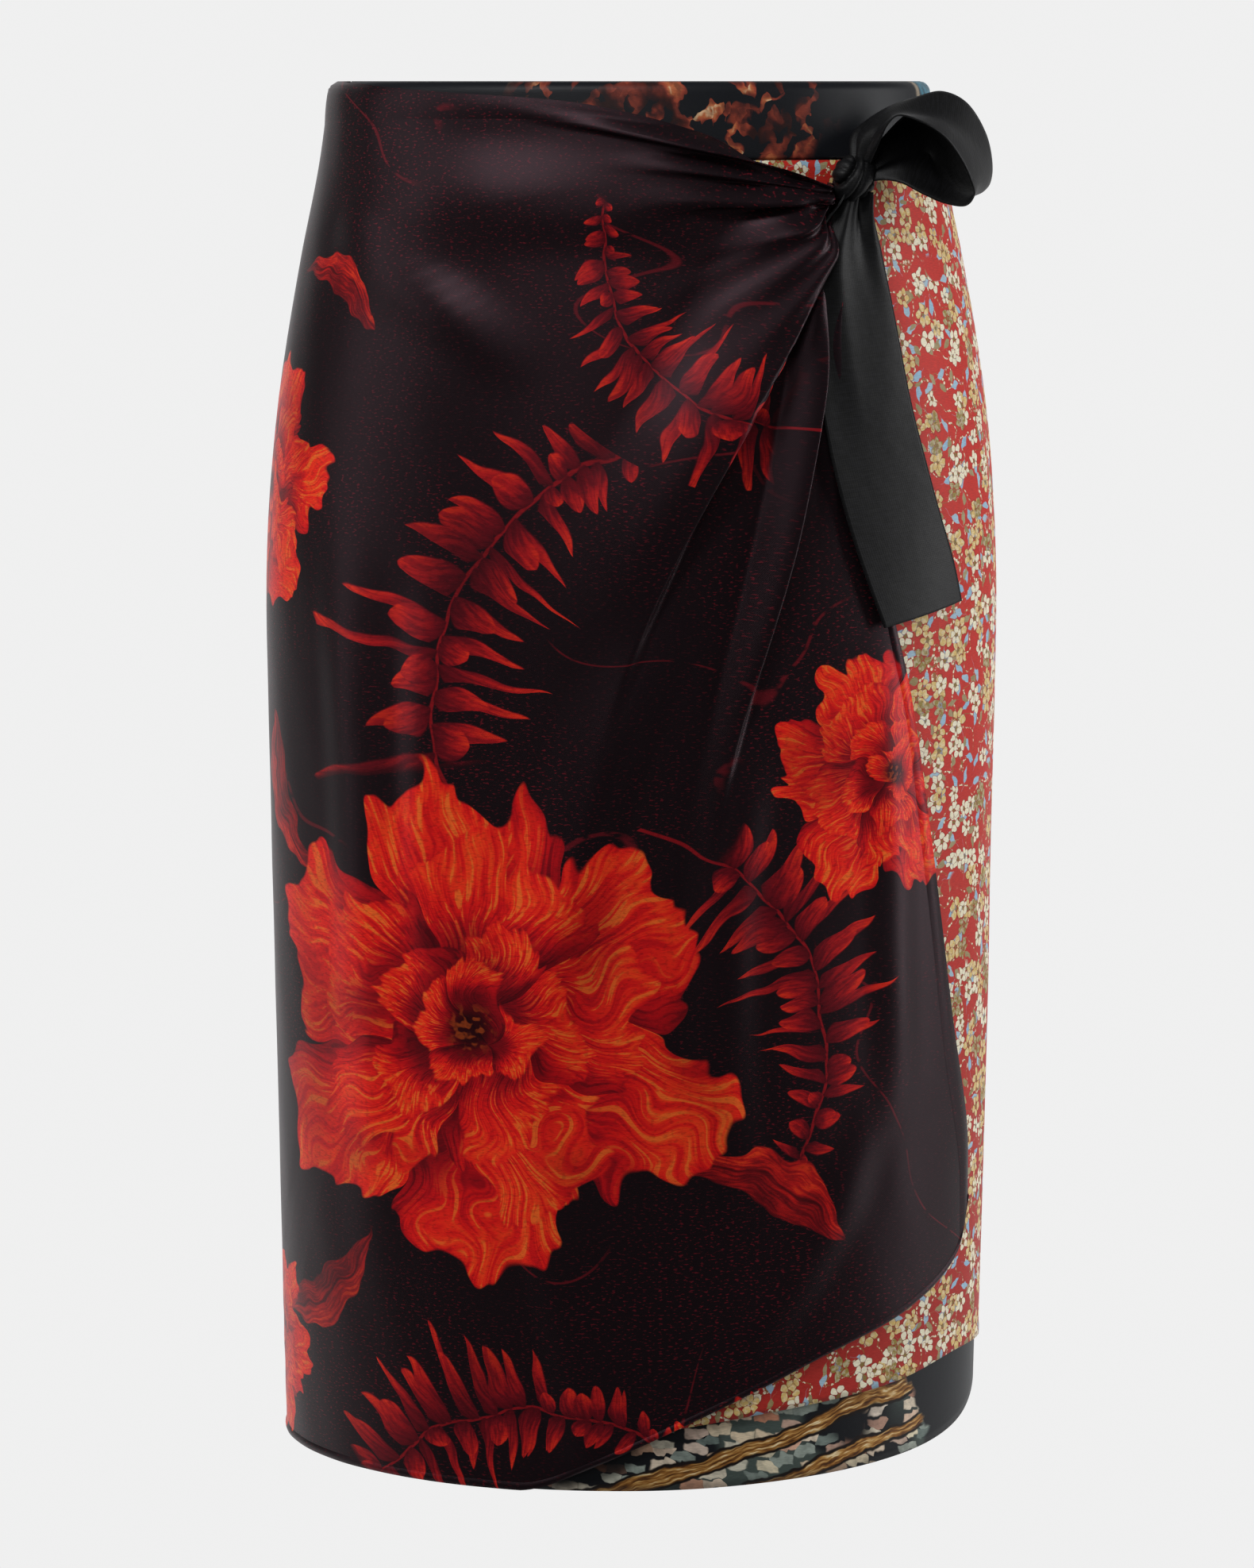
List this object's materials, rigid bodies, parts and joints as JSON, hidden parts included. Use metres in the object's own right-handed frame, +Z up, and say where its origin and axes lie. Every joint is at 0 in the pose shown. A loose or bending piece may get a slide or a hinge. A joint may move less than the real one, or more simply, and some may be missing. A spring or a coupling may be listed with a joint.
{
  "type": "wrap skirt",
  "caption": "Knee-length wrap skirt on its worn form, in mixed prints, gathered into a side knot with a ribbon loop and a hanging tail.",
  "frame": {"origin": "centre of the waist opening, level with the waist's edge", "axes": "+Z up along the body from hem to waist, -Y out of the wearer's front, +X towards the tie at the wearer's left hip"},
  "size_m": [0.3649, 0.2705, 0.6803],
  "materials": {
    "dark_floral": "soft sheen silk twill, near-black plum ground with large red and orange blooms",
    "under_print": "soft sheen silk, near-black ground with coral, ochre, cream and grey-green traditional motifs",
    "red_ditsy": "low sheen printed cloth, red ground with small cream and gold flowers and light blue leaves",
    "tie_silk": "matte black silk ribbon"
  },
  "bodies": {
    "root": {"front_yoke": "under_print", "under_front": "under_print", "red_panel": "red_ditsy", "outer_panel": "dark_floral", "back_panel": "dark_floral", "tie_knot": "tie_silk", "tie_loop": "tie_silk", "tie_tail": "tie_silk"}
  },
  "joints": []
}
